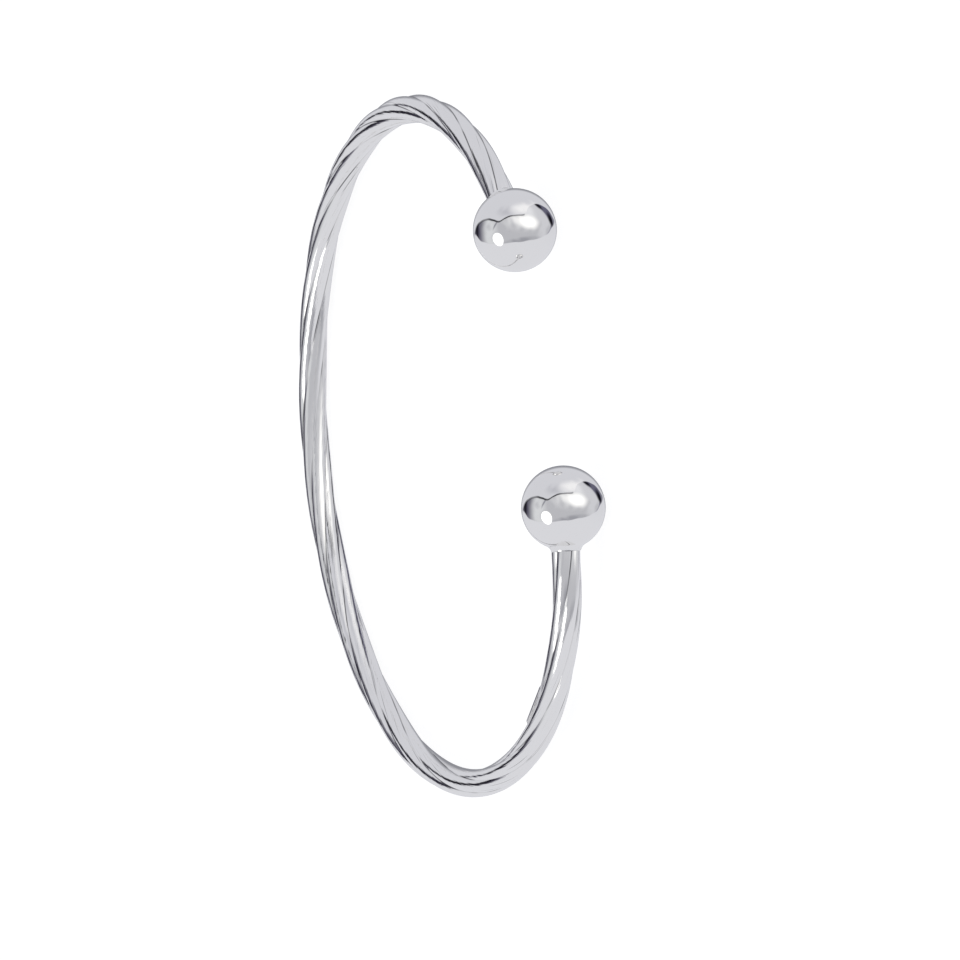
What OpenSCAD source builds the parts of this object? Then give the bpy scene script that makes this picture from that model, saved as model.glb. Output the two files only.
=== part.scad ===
// Open bangle of twisted fluted wire with a polished ball at each end.
// It lies on its side, as it rests by itself: on both balls and on the back of the wire.
// The opening between the balls faces the front (-Y), and the wrist goes in along Z.
// The origin is at the bottom centre of the bounding box. Units are millimetres.

/* [Oval] */
// Centre-line radius of the bend at the right end of the oval
right_end_r = 26.2; // [24:0.1:28]
// Angle that the right end bend turns through
right_end_deg = 120.5; // [116:0.5:124]
// Centre-line radius of the long bend at the back
back_r = 37.6; // [34:0.1:42]
// Angle that the back bend turns through
back_deg = 77.3; // [72:0.1:82]
// Centre-line radius of the left shoulder
left_shoulder_r = 29.8; // [27:0.1:33]
// Angle that the left shoulder turns through
left_shoulder_deg = 53.8; // [50:0.1:58]
// Centre-line radius of the bend at the left end of the oval
left_end_r = 21.3; // [19:0.1:24]
// Angle that the left end bend turns through
left_end_deg = 70.9; // [66:0.1:75]

/* [Wire] */
// Diameter of the twisted wire across the crests of its flutes
wire_d = 2.85; // [2.6:0.01:3.4]
// Number of rounded flutes round the wire
flutes = 5; // [4:1:8]
// Depth of the sharp grooves between the flutes
groove_depth = 0.22; // [0.1:0.01:0.3]
// Length of wire in which the flutes make one full turn
twist_pitch = 48.5; // [40:0.1:90]
// Angle of the first flute at the right ball, from the outer side towards the top
twist_start = 33.4; // [0:0.1:72]
// How far the flutes run ahead of an even twist in the middle of the wire, or behind it if negative
twist_lead = -13; // [-30:1:30]

/* [Balls] */
// Diameter of each ball
ball_d = 8.1; // [7:0.1:9]
// Distance from a ball's centre to the face of its neck
neck_reach = 4.17; // [4.1:0.01:4.4]
// Diameter of the neck where the wire meets it
neck_d = 2.8; // [2.5:0.05:3.2]
// Radius of the hollow curve from the ball into the neck
neck_fillet = 0.9; // [0.6:0.05:1.2]
// Diameter of the round pin on each end of the wire
pin_d = 2; // [1.6:0.1:2.2]
// How far the pin goes into the ball past the neck's face
pin_length = 2.6; // [1.5:0.1:3.4]
// Gap between the wire and the ball, all round the pin and at the neck
fit_gap = 0.03; // [0.02:0.01:0.06]

/* [Tag] */
// Length of the bare tag along the wire
tag_length = 5.4; // [3:0.1:6]
// Width of the tag across the wire
tag_width = 1.6; // [1.2:0.1:2.4]
// Thickness of the tag
tag_thick = 0.25; // [0.2:0.05:0.4]
// Radius of the tag's corners
tag_corner = 0.4; // [0.1:0.1:0.5]
// Length of wire from the left ball's centre to the middle of the tag
tag_from_ball = 21.7; // [15:0.1:30]
// Clearance under the middle of the straight tag, whose ends sink into the curved wire
tag_rise = 0.04; // [0:0.01:0.1]

/* [Hidden] */

// Sampling of the faceted wire, of the round pieces and of the search for the wire's extremes
segments_per_flute = 8;
ring_step = 1.4;
round_segments = 96;
corner_segments = 32;
fillet_steps = 6;
search_steps = 200;

// Bends in the order in which the wire runs from the right ball to the left ball: [radius, angle]
BENDS = [
    [right_end_r, right_end_deg],
    [back_r, back_deg],
    [left_shoulder_r, left_shoulder_deg],
    [left_end_r, left_end_deg]
];

wire_r = wire_d / 2;
ball_r = ball_d / 2;
neck_r = neck_d / 2;
pin_r = pin_d / 2;

// How far the foot of the neck's curve sinks into the ball, so that the two surfaces cross
neck_bite = 0.005;

// The wire is straight from each ball's centre to a little past the neck, then it bends
stub = neck_reach + fit_gap;

function bend_length(i) = BENDS[i][0] * BENDS[i][1] * PI / 180;
function length_before(i) = i == 0 ? stub : length_before(i - 1) + bend_length(i - 1);
wire_length = length_before(len(BENDS) - 1) + bend_length(len(BENDS) - 1) + stub;

function turned(p, angle) = [
    p[0] * cos(angle) - p[1] * sin(angle),
    p[0] * sin(angle) + p[1] * cos(angle)
];
function forward(heading) = [cos(heading), sin(heading)];
function leftward(heading) = [-sin(heading), cos(heading)];

// Where the wire is after it has turned through angle on a bend of radius r: [point, heading]
function after_turn(state, r, angle) = [
    state[0] + r * (leftward(state[1]) - leftward(state[1] + angle)),
    state[1] + angle
];
function after_straight(state, distance) = [state[0] + distance * forward(state[1]), state[1]];
function bend_start(i, heading) =
    i == 0
        ? after_straight([[0, 0], heading], stub)
        : after_turn(bend_start(i - 1, heading), BENDS[i - 1][0], BENDS[i - 1][1]);

// The wire's state at a distance s from the right ball's centre, for a first heading
function state_at(s, heading) =
    s <= stub
        ? after_straight([[0, 0], heading], s)
        : let (inside = [for (i = [0 : len(BENDS) - 1]) if (s >= length_before(i)) i],
               i = inside[len(inside) - 1],
               run = min(s - length_before(i), bend_length(i)),
               turned_to = after_turn(bend_start(i, heading), BENDS[i][0], run / BENDS[i][0] * 180 / PI))
          after_straight(turned_to, s - length_before(i) - run);

// The first heading that puts both balls' centres on one line along X
left_end_unturned = state_at(wire_length, 0)[0];
first_heading = 180 - atan2(left_end_unturned[1], left_end_unturned[0]);

function centre(s) = state_at(s, first_heading)[0];
function heading(s) = state_at(s, first_heading)[1];

// The back of the wire drops to the surface while the larger balls stay on it
SAMPLES = [for (i = [0 : search_steps]) centre(wire_length * i / search_steps)];
back_y = max([for (p = SAMPLES) p[1]]);
lie_tilt = -asin((ball_r - wire_r) / back_y);

// Bounding box of the lying bangle, and the shift that puts its bottom centre on the origin
x_low = min([for (p = SAMPLES) p[0]]) - wire_r;
x_high = max([for (p = SAMPLES) p[0]]) + wire_r;
y_low = -ball_r;
y_high = back_y * cos(lie_tilt) + wire_r;
to_origin = [-(x_low + x_high) / 2, -(y_low + y_high) / 2, ball_r];

module lie_down() {
    translate(to_origin) rotate([lie_tilt, 0, 0]) children();
}

// Puts a child on the wire at distance s: its X runs along the wire, its Y points into the oval
module on_wire(s) {
    translate([centre(s)[0], centre(s)[1], 0]) rotate([0, 0, heading(s)]) children();
}

// Section of the wire: equal arcs that meet in sharp grooves, each with its centre on a ring
flute_step = 360 / flutes;
groove_r = wire_r - groove_depth;
half_chord = groove_r * sin(flute_step / 2);
arc_height = wire_r - groove_r * cos(flute_step / 2);
flute_r = (half_chord * half_chord + arc_height * arc_height) / (2 * arc_height);
flute_ring_r = wire_r - flute_r;
arc_half = 2 * atan(arc_height / half_chord);
function flute_point(k) =
    let (flute = floor(k / segments_per_flute),
         arc = (2 * (k % segments_per_flute) / segments_per_flute - 1) * arc_half)
    turned([flute_ring_r + flute_r * cos(arc), flute_r * sin(arc)], flute * flute_step);
section_count = flutes * segments_per_flute;
SECTION = [for (k = [0 : section_count - 1]) flute_point(k)];
PIN_SECTION = [for (p = SECTION) pin_r * p / norm(p)];

// Places a section on the wire, turned by the twist: out of the oval is its first axis, up its second
function twist_at(s) =
    twist_start + twist_lead * (1 - pow(2 * s / wire_length - 1, 2)) - 360 * s / twist_pitch;
function ring(s, section) =
    let (c = centre(s), out = -leftward(heading(s)), twist = twist_at(s))
    [for (p = section) let (q = turned(p, twist)) [c[0] + out[0] * q[0], c[1] + out[1] * q[0], q[1]]];

fluted_start = stub;
fluted_length = wire_length - 2 * stub;
ring_count = ceil(fluted_length / ring_step) + 1;
pin_reach = stub - pin_length;
RINGS = [
    ring(pin_reach, PIN_SECTION),
    ring(fluted_start, PIN_SECTION),
    for (i = [0 : ring_count - 1]) ring(fluted_start + fluted_length * i / (ring_count - 1), SECTION),
    ring(wire_length - fluted_start, PIN_SECTION),
    ring(wire_length - pin_reach, PIN_SECTION)
];
last_ring = len(RINGS) - 1;

module fluted_wire() {
    points = [for (r = RINGS) each r];
    n = section_count;
    walls = [
        for (i = [0 : last_ring - 1], k = [0 : n - 1])
            let (a = i * n + k, b = i * n + (k + 1) % n, c = b + n, d = a + n)
            each [[a, b, c], [a, c, d]]
    ];
    first_cap = [for (k = [0 : n - 1]) n - 1 - k];
    last_cap = [for (k = [0 : n - 1]) last_ring * n + k];
    polyhedron(points, concat([first_cap], walls, [last_cap]), convexity = 10);
}

// A thin plate with round corners. It stands on its edge along X, with its back on the plane Y = 0
module tag() {
    rotate([90, 0, 0]) linear_extrude(tag_thick) offset(r = tag_corner, $fn = corner_segments)
        square([tag_length - 2 * tag_corner, tag_width - 2 * tag_corner], center = true);
}

module band() {
    color("silver") lie_down() union() {
        fluted_wire();
        on_wire(wire_length - tag_from_ball) translate([0, wire_r + tag_rise + tag_thick, 0]) tag();
    }
}

// A ball at the origin with its neck along +X
module ball() {
    // The hollow curve leaves the ball and ends at the neck's face
    curve_r = neck_r + neck_fillet;
    curve_x = sqrt(pow(ball_r + neck_fillet - neck_bite, 2) - pow(curve_r, 2));
    foot = 180 + atan2(curve_x, curve_r);
    face = 180 + asin((curve_x - neck_reach) / neck_fillet);
    neck_outline = concat(
        [[0, 0], [0, neck_reach]],
        [for (i = [0 : fillet_steps])
            let (angle = face + (foot - face) * i / fillet_steps)
            [curve_r, curve_x] + neck_fillet * [cos(angle), sin(angle)]],
        [[ball_r / 2, ball_r / 2]]
    );
    // All three are turned together, so that the ball's pole is in its neck
    rotate([0, 90, 0]) difference() {
        union() {
            sphere(d = ball_d, $fn = round_segments);
            rotate_extrude($fn = round_segments) polygon(neck_outline);
        }
        translate([0, 0, pin_reach - fit_gap])
            cylinder(r = pin_r + fit_gap, h = ball_d, $fn = round_segments);
    }
}

module ball_right() {
    color("silver") lie_down() on_wire(0) ball();
}

module ball_left() {
    color("silver") lie_down() on_wire(wire_length) rotate([0, 0, 180]) ball();
}

band();
ball_right();
ball_left();
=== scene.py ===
# %% [markdown]
# An open bangle of twisted silver wire with a ball at each end
#
# The bangle is one length of fluted silver wire. A maker draws the wire through a plate with a
# scalloped hole, twists it, bends it to an open oval and puts a polished ball on each end. It lies
# on its side here, as it rests by itself, on both balls and on the back of the wire.
# The model that this script dresses is loaded first. Its box is kept. Sizes in the script are in
# millimetres, and MM turns them into the metres that Blender works in.

from cmath import exp
from math import asin, atan2, ceil, cos, pi, radians, sin, sqrt

import bpy
from mathutils import Matrix, Vector
from mathutils.bvhtree import BVHTree


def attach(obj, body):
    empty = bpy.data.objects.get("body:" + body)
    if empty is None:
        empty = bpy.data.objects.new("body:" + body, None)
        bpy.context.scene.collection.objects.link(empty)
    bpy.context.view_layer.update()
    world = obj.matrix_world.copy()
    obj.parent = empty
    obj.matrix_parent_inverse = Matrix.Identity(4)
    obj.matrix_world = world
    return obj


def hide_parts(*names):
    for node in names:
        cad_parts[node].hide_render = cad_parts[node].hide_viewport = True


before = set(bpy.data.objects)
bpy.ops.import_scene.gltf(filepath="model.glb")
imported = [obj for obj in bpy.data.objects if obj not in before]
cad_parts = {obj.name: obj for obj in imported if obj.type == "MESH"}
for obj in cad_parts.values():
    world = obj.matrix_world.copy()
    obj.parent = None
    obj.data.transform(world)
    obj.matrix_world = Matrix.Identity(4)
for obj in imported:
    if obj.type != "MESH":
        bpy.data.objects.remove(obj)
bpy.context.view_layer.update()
bpy.ops.object.select_all(action="DESELECT")
MM = 0.001

# %% [markdown]
# The camera
#
# The camera comes first. It stands a little less than a metre away, in front of the bangle and above
# it, and it is rolled on its side, so that the bangle seems to stand upright. A long lens shows the
# far side of the oval nearly as large as the near side.

# %% Make the camera
IMAGE_PIXELS = 960
FOCAL_PIXELS = 9347.0
SENSOR = 36.0
CAMERA_PLACE = (-227.04, -784.82, 426.91)
CAMERA_DEGREES = (-4.27, 62.216, -110.733)
NEAREST_SEEN = 50.0
FARTHEST_SEEN = 20000.0

camera_data = bpy.data.cameras.new("camera")
camera_data.sensor_width = SENSOR
camera_data.lens = FOCAL_PIXELS * SENSOR / IMAGE_PIXELS
camera_data.clip_start = NEAREST_SEEN * MM
camera_data.clip_end = FARTHEST_SEEN * MM
camera = bpy.data.objects.new("camera", camera_data)
camera.location = Vector(CAMERA_PLACE) * MM
camera.rotation_euler = [radians(angle) for angle in CAMERA_DEGREES]
bpy.context.scene.collection.objects.link(camera)
bpy.context.scene.camera = camera
print("lens in mm:", round(camera_data.lens, 1))
print("distance in mm:", round(Vector(CAMERA_PLACE).length))

# %% [markdown]
# The run of the wire
#
# From ball to ball the wire is straight for a moment, then it bends four times, always to the left,
# and it ends straight. A place on it is a complex number, because turning is then a multiplication.
# The first heading is chosen so that both balls stand on one line.

# %% Values of the wire and its run
BALL_R = 4.05
WIRE_R = 1.425
STUB = 4.2
BENDS = (
    # radius, angle
    (26.2, radians(120.5)),
    (37.6, radians(77.3)),
    (29.8, radians(53.8)),
    (21.3, radians(70.9)),
)
WIRE_LENGTH = 2 * STUB + sum(radius * angle for radius, angle in BENDS)
SAMPLE_STEPS = 200


def follow(distance, first_heading):
    """Place and heading at a distance from the right ball's centre, in mm and radians."""
    left = distance
    heading = first_heading
    place = min(left, STUB) * exp(1j * heading)
    left -= min(left, STUB)
    for radius, angle in BENDS:
        turn = min(left, radius * angle) / radius
        place += radius * 1j * (exp(1j * heading) - exp(1j * (heading + turn)))
        heading += turn
        left -= turn * radius
    return place + left * exp(1j * heading), heading


end_place = follow(WIRE_LENGTH, 0.0)[0]
FIRST_HEADING = pi - atan2(end_place.imag, end_place.real)
samples = [
    follow(WIRE_LENGTH * i / SAMPLE_STEPS, FIRST_HEADING)[0] for i in range(SAMPLE_STEPS + 1)
]
back = max(spot.imag for spot in samples)
LIE_TILT = -asin((BALL_R - WIRE_R) / back)
print("wire length in mm:", round(WIRE_LENGTH, 3), "first heading:", round(FIRST_HEADING, 4))

# %% [markdown]
# Flat first, then laid down
#
# The bangle is drawn flat, with its right ball on the origin, and is then laid down: the back of
# the wire drops to the surface while the two larger balls stay on it. One matrix does that for
# every piece, and another puts a piece at a distance along the wire.

# %% Place a piece on the wire, and lay it down
low_x = min(spot.real for spot in samples) - WIRE_R
high_x = max(spot.real for spot in samples) + WIRE_R
low_y = -BALL_R
high_y = back * cos(LIE_TILT) + WIRE_R
shift = Vector((-(low_x + high_x) / 2, -(low_y + high_y) / 2, BALL_R)) * MM
LAY_DOWN = Matrix.Translation(shift) @ Matrix.Rotation(LIE_TILT, 4, "X")


def on_wire(distance):
    """A piece's X then runs along the wire, and its Y points into the oval."""
    place, heading = follow(distance, FIRST_HEADING)
    spot = Vector((place.real, place.imag, 0)) * MM
    return Matrix.Translation(spot) @ Matrix.Rotation(heading, 4, "Z")


def take(piece):
    """Makes a piece the only one that the next operator acts on."""
    bpy.ops.object.select_all(action="DESELECT")
    piece.select_set(True)
    bpy.context.view_layer.objects.active = piece


def settle(piece, place):
    """Moves a piece by a matrix and writes its place into its mesh."""
    piece.matrix_world = place
    take(piece)
    bpy.ops.object.transform_apply(location=True, rotation=True, scale=True)


print("laid down by", round(-LIE_TILT / radians(1), 2), "degrees")

# %% [markdown]
# The section of the wire
#
# Drawn wire has one section all along. Here it is five equal round flutes that meet in sharp
# grooves. A circle would have to be pushed out five times. It is simpler to do what a pair of
# compasses does: one point in a groove is spun round the centre of the first flute, and the point
# where that arc ends is spun round the centre of the next one.
# The first crest's angle comes from the twist. The wire was held at one end and turned at the
# other, and its flutes turn once in about 48 mm, a little faster near the right ball than near the
# left one.

# %% Values of the flutes and their twist
FLUTES = 5
GROOVE_DEPTH = 0.22
ARC_STEPS = 14
TWIST_PITCH = 48.5
TWIST_START = radians(33.4)
TWIST_LEAD = radians(-13)

flute_step = 2 * pi / FLUTES
groove_r = WIRE_R - GROOVE_DEPTH
half_chord = groove_r * sin(flute_step / 2)
arc_height = WIRE_R - groove_r * cos(flute_step / 2)
flute_r = (half_chord**2 + arc_height**2) / (2 * arc_height)
flute_ring_r = WIRE_R - flute_r
arc_half = 2 * atan2(arc_height, half_chord)


def twist_at(distance):
    """Angle of the first flute, from the outer side of the oval towards the top."""
    from_middle = 2 * distance / WIRE_LENGTH - 1
    return TWIST_START + TWIST_LEAD * (1 - from_middle**2) - 2 * pi * distance / TWIST_PITCH


def section_spot(radius, angle):
    """A spot in the wire's first section, across X, where Y points into the oval and Z up."""
    return Vector((STUB, -radius * cos(angle), radius * sin(angle))) * MM


all_turns = (twist_at(0) - twist_at(WIRE_LENGTH)) / (2 * pi)
print("flute radius in mm:", round(flute_r, 3), "turns of the flutes:", round(all_turns, 2))

# %% Draw the section by spinning one point
NEAR = 0.001


def pick(mesh, wanted):
    """Selects the vertices, edges and faces whose every vertex passes the test."""
    bpy.ops.mesh.select_all(action="DESELECT")
    bpy.ops.object.mode_set(mode="OBJECT")
    for v in mesh.vertices:
        v.select = wanted(v.co / MM)
    for e in mesh.edges:
        e.select = all(mesh.vertices[i].select for i in e.vertices)
    for f in mesh.polygons:
        f.select = all(mesh.vertices[i].select for i in f.vertices)
    bpy.ops.object.mode_set(mode="EDIT")


def start_point(place, name):
    """A mesh of one vertex, in edit mode. It is a small triangle that is merged to its middle."""
    bpy.ops.object.select_all(action="DESELECT")
    bpy.ops.mesh.primitive_circle_add(vertices=3, radius=MM, location=(0, 0, 0))
    piece = bpy.context.object
    piece.name = piece.data.name = name
    bpy.ops.object.mode_set(mode="EDIT")
    bpy.ops.mesh.select_mode(type="VERT")
    bpy.ops.mesh.select_all(action="SELECT")
    bpy.ops.mesh.merge(type="CENTER")
    bpy.ops.transform.translate(value=place)
    return piece


def spin(angle, steps, centre, axis):
    """Spins the selection anticlockwise round an axis that points at the reader."""
    bpy.ops.mesh.spin(steps=steps, angle=-angle, center=centre, axis=axis)


def join_doubles():
    """Merges the vertices that are nearer to each other than NEAR."""
    bpy.ops.mesh.select_all(action="SELECT")
    bpy.ops.mesh.remove_doubles(threshold=NEAR * MM)


first_crest = twist_at(STUB)
wire = start_point(section_spot(groove_r, first_crest + flute_step / 2), "twisted_wire")
for k in range(FLUTES):
    flute_centre = section_spot(flute_ring_r, first_crest - k * flute_step)
    spin(2 * arc_half, ARC_STEPS, flute_centre, (1, 0, 0))
join_doubles()
bpy.ops.object.mode_set(mode="OBJECT")
radii = [Vector((0, v.co.y, v.co.z)).length / MM for v in wire.data.vertices]
print("section:", len(radii), "points, radius", round(min(radii), 3), "to", round(max(radii), 3), "mm")

# %% [markdown]
# The twisted rod
#
# The Screw modifier would sweep the section into a rod in one go, but with the same twist all
# along. So the rod is drawn as the wire was made: the last ring is pushed out by half a
# millimetre and turned by what the twist adds there, again and again. Each end is then closed down
# to the plain round pin that sits in its ball.

# %% Draw and twist the rod
RING_STEP = 0.5

fluted_length = WIRE_LENGTH - 2 * STUB
ring_steps = ceil(fluted_length / RING_STEP)
step = fluted_length / ring_steps
bpy.ops.object.mode_set(mode="EDIT")
bpy.ops.mesh.select_all(action="SELECT")
for i in range(1, ring_steps + 1):
    ring_x = STUB + i * step
    bpy.ops.mesh.extrude_edges_move(TRANSFORM_OT_translate={"value": (step * MM, 0, 0)})
    bpy.ops.transform.rotate(
        value=twist_at(ring_x) - twist_at(ring_x - step),
        orient_axis="X",
        center_override=(ring_x * MM, 0, 0),
    )
bpy.ops.object.mode_set(mode="OBJECT")
print("rod to", round(max(v.co.x for v in wire.data.vertices) / MM, 3), "mm in", ring_steps, "rings")

# %% Close each end down to its pin
PIN_R = 1.0
PIN_LENGTH = 2.6

bpy.ops.object.mode_set(mode="EDIT")
for end, outward in ((STUB, -1), (WIRE_LENGTH - STUB, 1)):
    bpy.ops.mesh.select_all(action="DESELECT")
    bpy.ops.mesh.primitive_circle_add(
        vertices=FLUTES * ARC_STEPS,
        radius=PIN_R * MM,
        location=(end * MM, 0, 0),
        rotation=(0, pi / 2, 0),
    )
    pick(wire.data, lambda p: abs(p.x - end) < NEAR)
    bpy.ops.mesh.bridge_edge_loops()
    pick(wire.data, lambda p: abs(p.x - end) < NEAR and Vector((p.y, p.z)).length < PIN_R + NEAR)
    bpy.ops.mesh.extrude_edges_move(
        TRANSFORM_OT_translate={"value": (outward * PIN_LENGTH * MM, 0, 0)}
    )
    bpy.ops.mesh.edge_face_add()
join_doubles()
bpy.ops.mesh.normals_make_consistent(inside=False)
bpy.ops.object.mode_set(mode="OBJECT")
print("wire with pins:", len(wire.data.vertices), "vertices")

# %% [markdown]
# What the wire remembers
#
# The draw plate leaves fine lines along the wire, and they twist and bend with it. So each vertex
# remembers where it was in the straight, untwisted rod, and the wire's finish reads that place.

# %% Remember the untwisted rod


def remember(piece, name, place_of):
    """Stores a place for each vertex in a named attribute, worked out from where it is now."""
    attribute = piece.data.attributes.new(name, "FLOAT_VECTOR", "POINT")
    for v, stored in zip(piece.data.vertices, attribute.data):
        stored.vector = place_of(v.co)
    return [stored.vector / MM for stored in attribute.data]


rod_places = remember(
    wire, "rod_place", lambda co: Matrix.Rotation(twist_at(co.x / MM), 3, "X") @ co
)
crest = min(rod_places, key=lambda spot: spot.y)
print("the first crest of the untwisted rod is at Y", round(crest.y, 3), "Z", round(crest.z, 3), "mm")

# %% [markdown]
# The bend
#
# A maker bends the twisted wire by hand round a steel former, with a tighter curve at the ends of
# the oval than at its back. Here the straight rod follows a curve. The Curve modifier keeps each
# section square to it, which pushing the points about one by one would not. The curve is drawn
# flat in the same way as the section, by spinning one point, and its up direction is held, so that
# the bend adds no twist of its own.

# %% Draw the run of the wire
PATH_STEP = 0.25


def go(start, heading, distance):
    """Draws the run straight on, and returns where it then is."""
    move = distance * exp(1j * heading)
    bpy.ops.mesh.extrude_vertices_move(
        TRANSFORM_OT_translate={"value": (move.real * MM, move.imag * MM, 0)}
    )
    return start + move


path = start_point((0, 0, 0), "run")
heading = FIRST_HEADING
place = go(0j, heading, STUB)
for radius, angle in BENDS:
    middle = place + radius * 1j * exp(1j * heading)
    bend_centre = Vector((middle.real, middle.imag, 0)) * MM
    spin(angle, ceil(radius * angle / PATH_STEP), bend_centre, (0, 0, 1))
    heading += angle
    place = middle - radius * 1j * exp(1j * heading)
go(place, heading, STUB)
join_doubles()
bpy.ops.object.mode_set(mode="OBJECT")
bpy.ops.object.convert(target="CURVE")
path.data.twist_mode = "Z_UP"
run_start = path.data.splines[0].points[0].co.xyz
print("the run has", len(path.data.splines[0].points), "points")

# %% Bend the rod along the run
SMOOTH_BELOW = radians(40)

# The run has to start at the right ball, and a converted curve may be the other way round
if run_start.length > NEAR * MM:
    bpy.ops.object.mode_set(mode="EDIT")
    bpy.ops.curve.select_all(action="SELECT")
    bpy.ops.curve.switch_direction()
    bpy.ops.object.mode_set(mode="OBJECT")
print("the run ends at", [round(x / MM, 3) for x in path.data.splines[0].points[-1].co.xyz])

bend = wire.modifiers.new("bend", "CURVE")
bend.object = path
bend.deform_axis = "POS_X"
take(wire)
bpy.ops.object.modifier_apply(modifier=bend.name)
bpy.data.objects.remove(path)
settle(wire, LAY_DOWN)
bpy.ops.object.mode_set(mode="EDIT")
bpy.ops.mesh.select_all(action="SELECT")
bpy.ops.mesh.normals_make_consistent(inside=False)
bpy.ops.object.mode_set(mode="OBJECT")
bpy.ops.object.shade_smooth_by_angle(angle=SMOOTH_BELOW)

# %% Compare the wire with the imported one
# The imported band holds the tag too, and the farthest of its vertices are the tag's
surface = BVHTree.FromObject(wire, bpy.context.evaluated_depsgraph_get())
gaps = sorted(surface.find_nearest(v.co)[3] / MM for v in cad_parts["band"].data.vertices)
print("distance of the packed wire from this one in mm: median", round(gaps[len(gaps) // 2], 4),
      "largest", [round(g, 3) for g in gaps[-3:]])

# %% [markdown]
# The balls
#
# A ball is a plain polished sphere with a short neck that takes the end of the wire. A maker solders
# it from two pressed halves and bores it for the wire's pin. Here a sphere with its poles on the
# wire's line is cut at the foot of the neck. The open rim is then pushed out ring by ring along the
# neck's hollow curve, over its face and down into the bore. The curve bites a few microns into the
# ball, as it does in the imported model.

# %% Values of a ball and the curve of its neck
FIT_GAP = 0.03
NECK_R = 1.4
NECK_FILLET = 0.9
NECK_BITE = 0.005
FILLET_STEPS = 10

neck_reach = STUB - FIT_GAP
bore_r = PIN_R + FIT_GAP
bore_floor = STUB - PIN_LENGTH - FIT_GAP
curve_r = NECK_R + NECK_FILLET
curve_x = sqrt((BALL_R + NECK_FILLET - NECK_BITE) ** 2 - curve_r**2)
face = pi + asin((curve_x - neck_reach) / NECK_FILLET)
foot = pi + atan2(curve_x, curve_r)


def hollow(i):
    """Distance along the neck and radius at a step of its hollow curve, from the ball outwards."""
    angle = foot + (face - foot) * i / FILLET_STEPS
    return curve_x + NECK_FILLET * sin(angle), curve_r + NECK_FILLET * cos(angle)


print("the neck starts at", round(hollow(0)[0], 3), "mm and ends at", round(neck_reach, 3), "mm")

# %% Make one ball
BALL_SEGMENTS = 160
BALL_RINGS = 80
CUT_NEAR = 0.0001


def ring_out(x, r, new_x, new_r):
    """Pushes the open rim out to a new place along X and a new radius, and returns them."""
    bpy.ops.mesh.extrude_edges_move(TRANSFORM_OT_translate={"value": ((new_x - x) * MM, 0, 0)})
    bpy.ops.transform.resize(value=(1, new_r / r, new_r / r), center_override=(new_x * MM, 0, 0))
    return new_x, new_r


bpy.ops.object.select_all(action="DESELECT")
bpy.ops.mesh.primitive_uv_sphere_add(
    segments=BALL_SEGMENTS,
    ring_count=BALL_RINGS,
    radius=BALL_R * MM,
    location=(0, 0, 0),
    rotation=(0, pi / 2, 0),
)
ball = bpy.context.object
settle(ball, ball.matrix_world.copy())
bpy.ops.object.mode_set(mode="EDIT")
bpy.ops.mesh.select_all(action="SELECT")
rim_x = hollow(0)[0]
rim_r = sqrt(BALL_R**2 - rim_x**2)
bpy.ops.mesh.bisect(
    plane_co=(rim_x * MM, 0, 0), plane_no=(1, 0, 0), clear_outer=True, threshold=CUT_NEAR * MM
)
pick(ball.data, lambda p: p.x > rim_x - NEAR)
for i in range(1, FILLET_STEPS + 1):
    rim_x, rim_r = ring_out(rim_x, rim_r, *hollow(i))
rim_x, rim_r = ring_out(rim_x, rim_r, neck_reach, bore_r)
ring_out(rim_x, rim_r, bore_floor, bore_r)
bpy.ops.mesh.edge_face_add()
join_doubles()
bpy.ops.mesh.normals_make_consistent(inside=False)
bpy.ops.object.mode_set(mode="OBJECT")
bpy.ops.object.shade_smooth_by_angle(angle=SMOOTH_BELOW)
print("ball:", len(ball.data.vertices), "vertices")

# %% Put a ball on each end
right_ball = ball
left_ball = ball.copy()
left_ball.data = ball.data.copy()
bpy.context.scene.collection.objects.link(left_ball)
right_ball.name = right_ball.data.name = "polished_ball_right"
left_ball.name = left_ball.data.name = "polished_ball_left"
settle(right_ball, LAY_DOWN @ on_wire(0))
settle(left_ball, LAY_DOWN @ on_wire(WIRE_LENGTH) @ Matrix.Rotation(pi, 4, "Z"))
for piece in (right_ball, left_ball):
    print(piece.name, "lowest point in mm:", round(min(v.co.z for v in piece.data.vertices) / MM, 3))

# %% [markdown]
# The tag
#
# A small plate of rolled silver is soldered to the inner side of the wire, near the left ball. It is
# cut from sheet, its four corners are rounded with a file and its rim is broken, so two bevels do
# what the file does: a wide one on the corners and a narrow one all round both faces.
# The plate is straight and the wire isn't, so its middle stands a little off the wire and its ends
# sink into it.

# %% Make the tag
TAG_LENGTH = 5.4
TAG_WIDTH = 1.6
TAG_THICK = 0.25
TAG_FROM_BALL = 21.7
TAG_RISE = 0.04
TAG_CORNER = 0.4
TAG_CORNER_STEPS = 8
TAG_RIM = 0.05
TAG_RIM_STEPS = 2
TAG_RIM_SHARPNESS = radians(60)
TAG_SMOOTH_BELOW = radians(30)

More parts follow.
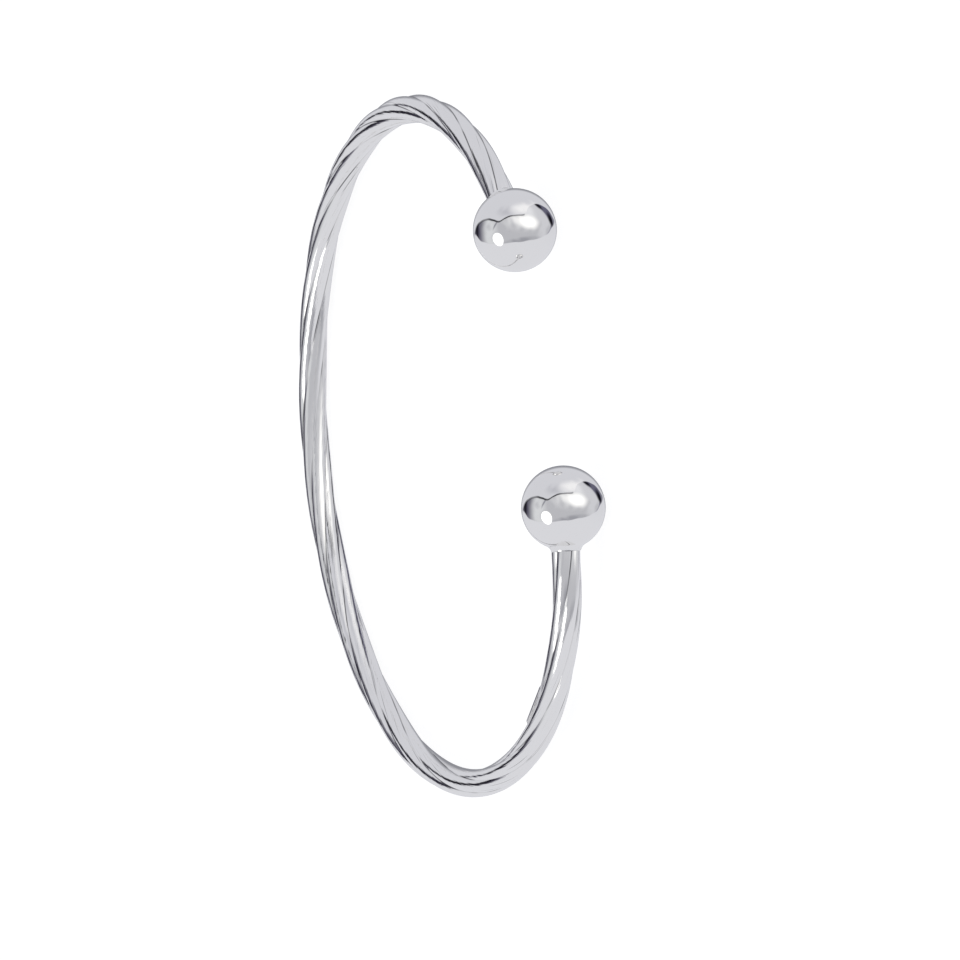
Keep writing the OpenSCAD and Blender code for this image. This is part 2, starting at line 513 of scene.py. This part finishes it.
bpy.ops.object.select_all(action="DESELECT")
bpy.ops.mesh.primitive_cube_add(
    size=MM,
    location=(0, (WIRE_R + TAG_RISE + TAG_THICK / 2) * MM, 0),
    scale=(TAG_LENGTH, TAG_THICK, TAG_WIDTH),
)
tag = bpy.context.object
tag.name = tag.data.name = "bare_tag"
settle(tag, tag.matrix_world.copy())
bpy.ops.object.mode_set(mode="EDIT")
bpy.ops.mesh.select_mode(type="EDGE")
bpy.ops.mesh.select_all(action="DESELECT")
bpy.ops.object.mode_set(mode="OBJECT")
for e in tag.data.edges:
    a, b = (tag.data.vertices[i].co / MM for i in e.vertices)
    e.select = abs(a.y - b.y) > TAG_THICK / 2
bpy.ops.object.mode_set(mode="EDIT")
bpy.ops.mesh.bevel(offset=TAG_CORNER * MM, segments=TAG_CORNER_STEPS, affect="EDGES")
bpy.ops.mesh.select_all(action="DESELECT")
bpy.ops.mesh.edges_select_sharp(sharpness=TAG_RIM_SHARPNESS)
bpy.ops.mesh.bevel(offset=TAG_RIM * MM, segments=TAG_RIM_STEPS, affect="EDGES")
bpy.ops.object.mode_set(mode="OBJECT")
remember(tag, "sheet_place", lambda co: co)
print("tag:", len(tag.data.polygons), "faces")
settle(tag, LAY_DOWN @ on_wire(WIRE_LENGTH - TAG_FROM_BALL))
bpy.ops.object.shade_smooth_by_angle(angle=TAG_SMOOTH_BELOW)

# %% [markdown]
# Nodes and colours
#
# The finishes and the light are both built from nodes. One helper adds a node, sets its properties
# and fills its inputs, each with a number or with a link from another node. A socket goes by its
# number where a node has several of one name: a Mix node takes its two colours at 6 and 7, and
# gives the mixed one at 2.

# %% Make the node helper and the colour function


def linear(colour):
    """An sRGB hex colour as the linear numbers that a shader needs, by the sRGB formula."""
    parts = [int(colour[i : i + 2], 16) / 255 for i in (1, 3, 5)]
    return [p / 12.92 if p <= 0.04045 else ((p + 0.055) / 1.055) ** 2.4 for p in parts] + [1.0]


def node(tree, kind, inputs=(), output=0, **settings):
    """Adds a node and returns one of its outputs. Inputs are pairs of a socket and what goes in."""
    made = tree.nodes.new("ShaderNode" + kind)
    for key, value in settings.items():
        setattr(made, key, value)
    for socket, value in inputs:
        if isinstance(value, bpy.types.NodeSocket):
            tree.links.new(value, made.inputs[socket])
        else:
            made.inputs[socket].default_value = value
    return made.outputs[output] if made.outputs else None


print("mid grey in linear numbers:", [round(p, 3) for p in linear("#808080")])

# %% [markdown]
# The light
#
# Polished silver has hardly a colour of its own: it shows what stands round it. A photographer
# puts it in a tent of white cloth, so that nearly all of it turns an even pale grey. What draws the
# shape is the tent's open front: a long gap with a dark seam on top and dark corners, and in it the
# glow of a window and a round lamp. The tent is a world shader here, because it is far away on
# every side. Its longitude and latitude are measured as the camera's first view sees them, with 0
# degrees at the middle of the gap, but the tent stays still when the camera moves.
# Cloth doesn't hang true, so a slow noise bends all its lines by a degree or two. The Standard view
# keeps its white as white as it is here.

# %% Map the tent in degrees
SAG_DEGREES = 3.5
SAG_SCALE = 2.5

world = bpy.data.worlds.new("light_tent")
bpy.context.scene.world = world
world.use_nodes = True
tent = world.node_tree
tent.nodes.clear()
bpy.context.scene.view_settings.view_transform = "Standard"

view_axes = camera.rotation_euler.to_matrix()
TENT_RIGHT, TENT_UP, TENT_FRONT = (tuple(view_axes.col[i]) for i in range(3))
direction = node(tent, "TexCoord", output="Generated")
along_right, along_up, along_front = (
    node(tent, "VectorMath", [(0, direction), (1, axis)], "Value", operation="DOT_PRODUCT")
    for axis in (TENT_RIGHT, TENT_UP, TENT_FRONT)
)
around = node(tent, "Math", [(0, along_right), (1, along_front)], operation="ARCTAN2")
height = node(tent, "Math", [(0, along_up)], operation="ARCSINE")
true_map = node(tent, "CombineXYZ", [("X", around), ("Y", height)])
true_map = node(tent, "VectorMath", [(0, true_map), ("Scale", 180 / pi)], operation="SCALE")
sag = node(tent, "TexNoise", [("Vector", direction), ("Scale", SAG_SCALE), ("Detail", 0.0)], "Color")
sag = node(tent, "VectorMath", [(0, sag), (1, (0.5, 0.5, 0.5))], operation="SUBTRACT")
sag = node(tent, "VectorMath", [(0, sag), ("Scale", SAG_DEGREES)], operation="SCALE")
tent_map = node(tent, "VectorMath", [(0, true_map), (1, sag)], operation="ADD")
longitude, latitude = (node(tent, "SeparateXYZ", [(0, tent_map)], axis) for axis in "XY")
print("the gap's middle faces", [round(x, 2) for x in TENT_FRONT])

# %% [markdown]
# The gap
#
# An edge of cloth hangs in slow curves. A curve node draws it through a few points, as a cord
# through pegs, and needs no picture of a room. That node works from 0 to 1, so longitude and
# latitude are also kept as shares of the whole tent. All other sizes on the tent are in degrees.

# %% Cut the gap
# Longitude and latitude of points on each edge, in degrees
UPPER_EDGE = (
    (-180, 0), (-142, 0), (-120, 10), (-102, 18), (-84, 22), (-68, 22), (-48, 20), (-40, 23),
    (-32, 29), (-14, 37), (5, 40), (32, 40), (60, 55), (90, 56), (112, 50), (133, 30), (152, 9),
    (180, 9),
)
LOWER_EDGE = (
    (-180, 0), (-142, -3), (-120, -14), (-98, -24), (-72, -32), (-40, -37), (0, -35), (18, -35),
    (42, -28), (62, -23), (82, -16), (102, -7), (122, 3), (152, 8), (180, 9),
)
EDGE_BEFORE = 1.0
EDGE_AFTER = 1.5
DEGREE = 1 / 180

lon_share = node(tent, "Math", [(0, longitude), (1, 1 / 360), (2, 0.5)], operation="MULTIPLY_ADD")
lat_share = node(tent, "Math", [(0, latitude), (1, DEGREE), (2, 0.5)], operation="MULTIPLY_ADD")


def drape(points):
    """A value that runs smoothly along the tent through points of longitude and value."""
    drawn = node(tent, "FloatCurve", [("Value", lon_share)])
    line = drawn.node.mapping.curves[0]
    pegs = [((lon + 180) / 360, value) for lon, value in points]
    line.points[0].location = pegs[0]
    line.points[-1].location = pegs[-1]
    for peg in pegs[1:-1]:
        line.points.new(*peg)
    drawn.node.mapping.update()
    return drawn


def past(depth):
    """0 before an edge of the gap and 1 past it, with a soft change between them."""
    limits = [(0, depth), (1, -EDGE_BEFORE * DEGREE), (2, EDGE_AFTER * DEGREE)]
    return node(tent, "MapRange", limits, interpolation_type="SMOOTHSTEP")


upper, lower = (
    drape([(lon, lat / 180 + 0.5) for lon, lat in edge]) for edge in (UPPER_EDGE, LOWER_EDGE)
)
below_upper = node(tent, "Math", [(0, upper), (1, lat_share)], operation="SUBTRACT")
above_lower = node(tent, "Math", [(0, lat_share), (1, lower)], operation="SUBTRACT")
in_gap = node(tent, "Math", [(0, past(below_upper)), (1, past(above_lower))], operation="MULTIPLY")
print("the gap reaches down to", min(lat for lon, lat in LOWER_EDGE), "and up to",
      max(lat for lon, lat in UPPER_EDGE), "degrees")

# %% [markdown]
# The cloth
#
# Cloth lit from outside is brightest round the window and a little darker overhead than below.
# Straight behind the bangle it is darkest, because there the photographer's own screen hangs.
# Each brighter or darker place is a soft ellipse, which is easy to move and to make larger.

# %% Colour the cloth
CLOTH_PATCHES = (
    # longitude, latitude, long half, short half, lean, softness, colour
    (-38, 50, 26, 13, 0, 0.8, "#BCBDC5"),
    (44, 57, 56, 15, -4, 0.7, "#F1F1F4"),
)
CLOTH_BELOW = "#D7D8DE"
CLOTH_OVERHEAD = "#CFD0D7"
OVERHEAD_FROM = -30.0
OVERHEAD_FULL = 30.0


def paint(ground, patches, place, strength=1.0):
    """Lays soft ellipses of colour over a ground, one after the other. Sizes are in degrees."""
    for lon, lat, long_half, short_half, lean, soft, colour in patches:
        shape = [(1, (lon, lat, 0)), (2, (0, 0, radians(lean))), (3, (long_half, short_half, 1))]
        local = node(tent, "Mapping", [(0, place)] + shape, vector_type="TEXTURE")
        reach = node(tent, "VectorMath", [(0, local)], "Value", operation="LENGTH")
        cover = [(0, reach), (1, 1 + soft), (2, 1 - soft)]
        cover = node(tent, "MapRange", cover, interpolation_type="SMOOTHSTEP")
        colour = [strength * part for part in linear(colour)]
        ground = node(tent, "Mix", [(0, cover), (6, ground), (7, colour)], 2, data_type="RGBA")
    return ground


overhead = [(0, latitude), (1, OVERHEAD_FROM), (2, OVERHEAD_FULL)]
overhead = node(tent, "MapRange", overhead, interpolation_type="SMOOTHSTEP")
cloth = [(0, overhead), (6, linear(CLOTH_BELOW)), (7, linear(CLOTH_OVERHEAD))]
cloth = paint(node(tent, "Mix", cloth, 2, data_type="RGBA"), CLOTH_PATCHES, tent_map)
print(len(CLOTH_PATCHES), "patches on the cloth")

# %% Hang the screen behind the bangle
SCREEN_RISE = radians(14)
SCREEN_REACH = radians(29)
SCREEN_MIDDLE = radians(12)
SCREEN_GREY = "#8C8D94"

to_screen = sin(SCREEN_RISE) * Vector(TENT_UP) - cos(SCREEN_RISE) * Vector(TENT_FRONT)
screen = [(0, direction), (1, tuple(to_screen))]
screen = node(tent, "VectorMath", screen, "Value", operation="DOT_PRODUCT")
screen = node(tent, "MapRange", [(0, screen), (1, cos(SCREEN_REACH)), (2, cos(SCREEN_MIDDLE))])
cloth = [(0, screen), (6, cloth), (7, linear(SCREEN_GREY))]
cloth = node(tent, "Mix", cloth, 2, data_type="RGBA")
print("the screen reaches", round(SCREEN_REACH / radians(1)), "degrees round its middle")

# %% [markdown]
# The room in the gap
#
# Through the gap the silver sees the room, which is greyer than the cloth, with dark corners. The
# window stands in it and doesn't sag with the cloth, so it is placed on the true map.

# %% Colour what shows in the gap
ROOM_PATCHES = (
    # longitude, latitude, long half, short half, lean, softness, colour
    (-78, -5, 25, 34, 0, 0.5, "#D4D6DA"),
    (-126, 3, 28, 26, 0, 0.7, "#504E5F"),
    (-128, 3, 8, 20, 0, 0.7, "#1F1E26"),
    (32, 26, 52, 22, 0, 0.8, "#E6E7EA"),
    (62, 48, 26, 16, 0, 0.8, "#E2E3E8"),
    (14, 28, 22, 10, -8, 0.8, "#F3F3F5"),
    (92, 16, 28, 44, 0, 0.5, "#CCCDD3"),
    (22, -29, 48, 8, 9, 0.6, "#9A9BA3"),
    (112, 0, 15, 3, 34, 0.6, "#77758A"),
    (126, 28, 29, 15, -50, 0.3, "#626174"),
    (111, 45, 10, 8, -50, 0.5, "#14141C"),
    (124, 14, 11, 9, -40, 0.5, "#12121A"),
    (-56, 12, 13, 2, 61, 0.6, "#8E8F98"),
)
ROOM_GREY = "#B9BAC0"
# The window is a patch too, with the same columns
WINDOW = (40, 20, 26, 15, -10, 0.55, "#FFFFFF")
WINDOW_STRENGTH = 1.15

room = paint(linear(ROOM_GREY), ROOM_PATCHES, tent_map)
room = paint(room, [WINDOW], true_map, WINDOW_STRENGTH)
print(len(ROOM_PATCHES), "patches and one window in the gap")

# %% [markdown]
# The seam, the lamp and the backdrop
#
# The seam is a dark fold in the cloth along the gap's upper edge, and it isn't equally dark all
# along. The lamp stands in front of everything, so it is laid on last. The camera itself sees none
# of the tent, only a white backdrop.

# %% Draw the seam, hang the lamp and close the world
# Longitude in degrees, and how dark the seam is there
SEAM_DARKNESS = (
    (-180, 0), (-142, 0.3), (-122, 0.7), (-100, 0.6), (-80, 0.85), (-60, 0.95), (-46, 0.85),
    (-30, 0.95), (-14, 0.85), (2, 0.6), (24, 0.6), (33, 0.5), (38, 0), (180, 0),
)
SEAM_HALF = 3.0
SEAM_CORE = 1.2
SEAM_BLACK = "#1A1A20"
# The lamp is one more patch
LAMP = (-52, -25, 16, 16, 0, 0.12, "#FFFFFF")
LAMP_STRENGTH = 2.0
TENT_STRENGTH = 1.08

from_seam = node(tent, "Math", [(0, below_upper)], operation="ABSOLUTE")
seam = [(0, from_seam), (1, SEAM_HALF * DEGREE), (2, SEAM_CORE * DEGREE)]
seam = node(tent, "MapRange", seam, interpolation_type="SMOOTHSTEP")
seam = node(tent, "Math", [(0, seam), (1, drape(SEAM_DARKNESS))], operation="MULTIPLY")
seen = node(tent, "LightPath", output="Is Camera Ray")

light = node(tent, "Mix", [(0, in_gap), (6, cloth), (7, room)], 2, data_type="RGBA")
light = node(tent, "Mix", [(0, seam), (6, light), (7, linear(SEAM_BLACK))], 2, data_type="RGBA")
light = paint(light, [LAMP], true_map, LAMP_STRENGTH)
light = node(tent, "Mix", [(0, seen), (6, light), (7, (1, 1, 1, 1))], 2, data_type="RGBA")
background = node(tent, "Background", [("Color", light), ("Strength", TENT_STRENGTH)])
node(tent, "OutputWorld", [("Surface", background)])
print("tent nodes:", len(tent.nodes))

# %% [markdown]
# The floor
#
# The tent's floor is a white sheet lit from below, a light table. It shows white, with only a
# trace of shadow. The silver doesn't mirror it, because the tent's own white is there already.

# %% Make the floor
FLOOR_SIZE = 6000.0
SHEET_GREY = 0.35
SHEET_GLOW = 0.82

bpy.ops.object.select_all(action="DESELECT")
bpy.ops.mesh.primitive_plane_add(size=FLOOR_SIZE * MM, location=(0, 0, 0))
floor = bpy.context.object
floor.name = "floor"
sheet = bpy.data.materials.new("lit_white_sheet")
sheet.use_nodes = True
sheet_shader = sheet.node_tree.nodes["Principled BSDF"]
sheet_shader.inputs["Base Color"].default_value = (SHEET_GREY, SHEET_GREY, SHEET_GREY, 1)
sheet_shader.inputs["Roughness"].default_value = 1.0
sheet_shader.inputs["Specular IOR Level"].default_value = 0.0
sheet_shader.inputs["Emission Color"].default_value = (1, 1, 1, 1)
sheet_shader.inputs["Emission Strength"].default_value = SHEET_GLOW
floor.data.materials.append(sheet)
floor.visible_glossy = False
print("floor of", [round(x, 1) for x in floor.dimensions], "m")

# %% [markdown]
# Polished sterling silver, for the balls
#
# Sterling silver is nearly white with a trace of warmth, and buffing leaves it a mirror. A cloth
# mop never leaves it optically true, though. Faint swells, a few millimetres across and a few
# microns high, make the edges of reflections waver, and a breath of polishing haze comes and goes.
# A noise keeps near its middle value, so its whole height is set to several times that of a swell,
# and the haze is mapped from the middle part of its range.

# %% Finish the balls
STERLING = "#F5F4F2"
SWELL_SIZE = 4.0
SWELL_HEIGHT = 0.03
HAZE_SIZE = 3.0
NOISE_LOW = 0.3
NOISE_HIGH = 0.7
BALL_CLEAREST = 0.03
BALL_HAZIEST = 0.05


def bare_metal(name, colour, roughness):
    """A metal of one colour and one roughness, until a pattern is linked in place of either."""
    material = bpy.data.materials.new(name)
    material.use_nodes = True
    shader = material.node_tree.nodes["Principled BSDF"]
    shader.inputs["Base Color"].default_value = linear(colour)
    shader.inputs["Metallic"].default_value = 1.0
    shader.inputs["Roughness"].default_value = roughness
    return material, material.node_tree, shader


def give(material, *pieces):
    """Makes a material the only one of each piece."""
    for piece in pieces:
        piece.data.materials.clear()
        piece.data.materials.append(material)


polished, tree, shader = bare_metal("polished_sterling_silver", STERLING, roughness=0.05)
place_on_ball = node(tree, "TexCoord", output="Object")
swells = node(
    tree, "TexNoise", [("Vector", place_on_ball), ("Scale", 1 / (SWELL_SIZE * MM)), ("Detail", 0.0)]
)
swollen = node(tree, "Bump", [("Distance", SWELL_HEIGHT * MM), ("Height", swells)])
haze = node(
    tree, "TexNoise", [("Vector", place_on_ball), ("Scale", 1 / (HAZE_SIZE * MM)), ("Detail", 1.0)]
)
haze = [(0, haze), (1, NOISE_LOW), (2, NOISE_HIGH), (3, BALL_CLEAREST), (4, BALL_HAZIEST)]
tree.links.new(node(tree, "MapRange", haze), shader.inputs["Roughness"])
tree.links.new(swollen, shader.inputs["Normal"])
give(polished, right_ball, left_ball)
print("swells on the balls:", SWELL_SIZE, "mm wide, in a noise of", SWELL_HEIGHT, "mm height")

# %% [markdown]
# Drawn and twisted sterling silver, for the wire
#
# A draw plate leaves fine lines all along the wire, and twisting carries them round with the
# flutes. Their real width is a few hundredths of a millimetre, which is finer than a pixel here,
# so they are drawn a little coarser, as bundles of lines. Twisting also leaves the flutes a little
# uneven, in waves that are far wider than the lines.

# %% Draw the lines and waves of the wire
LINE_WIDTH = 0.13
LINE_LENGTH = 6.0
LINE_DEPTH = 0.018
WAVE_WIDTH = 0.9
WAVE_LENGTH = 6.0
WAVE_HEIGHT = 0.05
WIRE_CLEAREST = 0.02
WIRE_DULLEST = 0.12


def stretched_noise(tree, place, width, length, detail):
    """Noise in streaks along X of a remembered place. Sizes are in mm."""
    scale = (1 / (length * MM), 1 / (width * MM), 1 / (width * MM))
    streaks = node(tree, "VectorMath", [(0, place), (1, scale)], operation="MULTIPLY")
    return node(tree, "TexNoise", [("Vector", streaks), ("Scale", 1.0), ("Detail", detail)])


drawn_silver, tree, shader = bare_metal("drawn_twisted_sterling_silver", STERLING, roughness=0.1)
in_rod = node(tree, "Attribute", output="Vector", attribute_name="rod_place")
lines = stretched_noise(tree, in_rod, LINE_WIDTH, LINE_LENGTH, 2.0)
waves = stretched_noise(tree, in_rod, WAVE_WIDTH, WAVE_LENGTH, 0.0)
uneven = node(tree, "Bump", [("Distance", WAVE_HEIGHT * MM), ("Height", waves)])
uneven = node(tree, "Bump", [("Distance", LINE_DEPTH * MM), ("Height", lines), ("Normal", uneven)])
tree.links.new(uneven, shader.inputs["Normal"])
dull = [(0, lines), (1, NOISE_LOW), (2, NOISE_HIGH), (3, WIRE_CLEAREST), (4, WIRE_DULLEST)]
tree.links.new(node(tree, "MapRange", dull), shader.inputs["Roughness"])
give(drawn_silver, wire)
print("drawn lines:", LINE_WIDTH, "mm wide, in a noise of", LINE_DEPTH, "mm depth")

# %% [markdown]
# Painted shade in the grooves of the wire
#
# The bottom of each groove is painted darker, as the shade that falls there, in some stretches
# nearly to black. A few deeper drawn lines, as thin as hairs, are darkened too. The groove could be
# painted by hand on the mesh, but its distance from the wire's axis is known at every place in the
# rod, so the painted shade is worked out from that.

# %% Paint shade into the grooves and darken a few hairs
# The colour of the painted shade in the grooves, and of the dark hairs
GROOVE_SHADE_AND_HAIR_COLOUR = "#2A292E"
GROOVE_SHADE_RISE = 0.045
STRETCH_LENGTH = 5.0
STRETCH_FROM = 0.5
STRETCH_FULL = 0.62
STRETCH_LEAST = 0.1
HAIR_WIDTH = 0.1
HAIR_LENGTH = 8.0
HAIR_FROM = 0.68
HAIR_FULL = 0.76
HAIR_DARKNESS = 0.6

across = node(tree, "VectorMath", [(0, in_rod), (1, (0, 1, 1))], operation="MULTIPLY")
from_axis = node(tree, "VectorMath", [(0, across)], "Value", operation="LENGTH")
# Painted shade: the bottom of each groove is darkened, more in some stretches than in others
in_groove = [(0, from_axis), (1, (groove_r + GROOVE_SHADE_RISE) * MM), (2, groove_r * MM)]
in_groove = node(tree, "MapRange", in_groove)
stretches = stretched_noise(tree, in_rod, WIRE_R, STRETCH_LENGTH, 1.0)
stretches = [(0, stretches), (1, STRETCH_FROM), (2, STRETCH_FULL), (3, STRETCH_LEAST), (4, 1.0)]
stretches = node(tree, "MapRange", stretches)
groove_shade_and_hairs = node(tree, "Math", [(0, in_groove), (1, stretches)], operation="MULTIPLY")
hairs = stretched_noise(tree, in_rod, HAIR_WIDTH, HAIR_LENGTH, 1.0)
hairs = [(0, hairs), (1, HAIR_FROM), (2, HAIR_FULL), (3, 0.0), (4, HAIR_DARKNESS)]
hairs = node(tree, "MapRange", hairs)
groove_shade_and_hairs = node(tree, "Math", [(0, groove_shade_and_hairs), (1, hairs)], operation="MAXIMUM")
# The painted groove shade and the dark hairs are mixed into the silver's colour
tone = [(0, groove_shade_and_hairs), (6, linear(STERLING)), (7, linear(GROOVE_SHADE_AND_HAIR_COLOUR))]
tone = node(tree, "Mix", tone, 2, data_type="RGBA")
tree.links.new(tone, shader.inputs["Base Color"])
print("tarnish up to", GROOVE_SHADE_RISE, "mm above the bottom of the grooves")

# %% [markdown]
# Rolled sterling silver, for the tag
#
# Sheet comes off the rollers with short fine marks in one direction. The tag sits too low against
# the wire for a mop to reach all of it, so it keeps these marks under a light polish.

# %% Finish the tag
ROLL_WIDTH = 0.06
ROLL_LENGTH = 1.5
ROLL_DEPTH = 0.004

rolled_silver, tree, shader = bare_metal("rolled_sterling_silver", STERLING, roughness=0.15)
on_sheet = node(tree, "Attribute", output="Vector", attribute_name="sheet_place")
marks = stretched_noise(tree, on_sheet, ROLL_WIDTH, ROLL_LENGTH, 1.0)
rolled = node(tree, "Bump", [("Distance", ROLL_DEPTH * MM), ("Height", marks)])
tree.links.new(rolled, shader.inputs["Normal"])
give(rolled_silver, tag)
print("roller marks:", ROLL_WIDTH, "mm wide, in a noise of", ROLL_DEPTH, "mm depth")

# %% [markdown]
# Bodies and nodes
#
# Nothing on the bangle moves, so every piece rides on the one body. Each new piece stands for the
# imported node that holds the same shape, and that node is hidden.

# %% Attach the pieces to the body and hide the nodes they stand for
for piece, packed, slot in (
    (wire, "band", "twisted_silver"),
    (tag, "band", "twisted_silver"),
    (right_ball, "ball_right", "ball_silver"),
    (left_ball, "ball_left", "ball_silver"),
):
    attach(piece, "root")
    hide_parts(packed)
    print(piece.name, "stands for", packed)
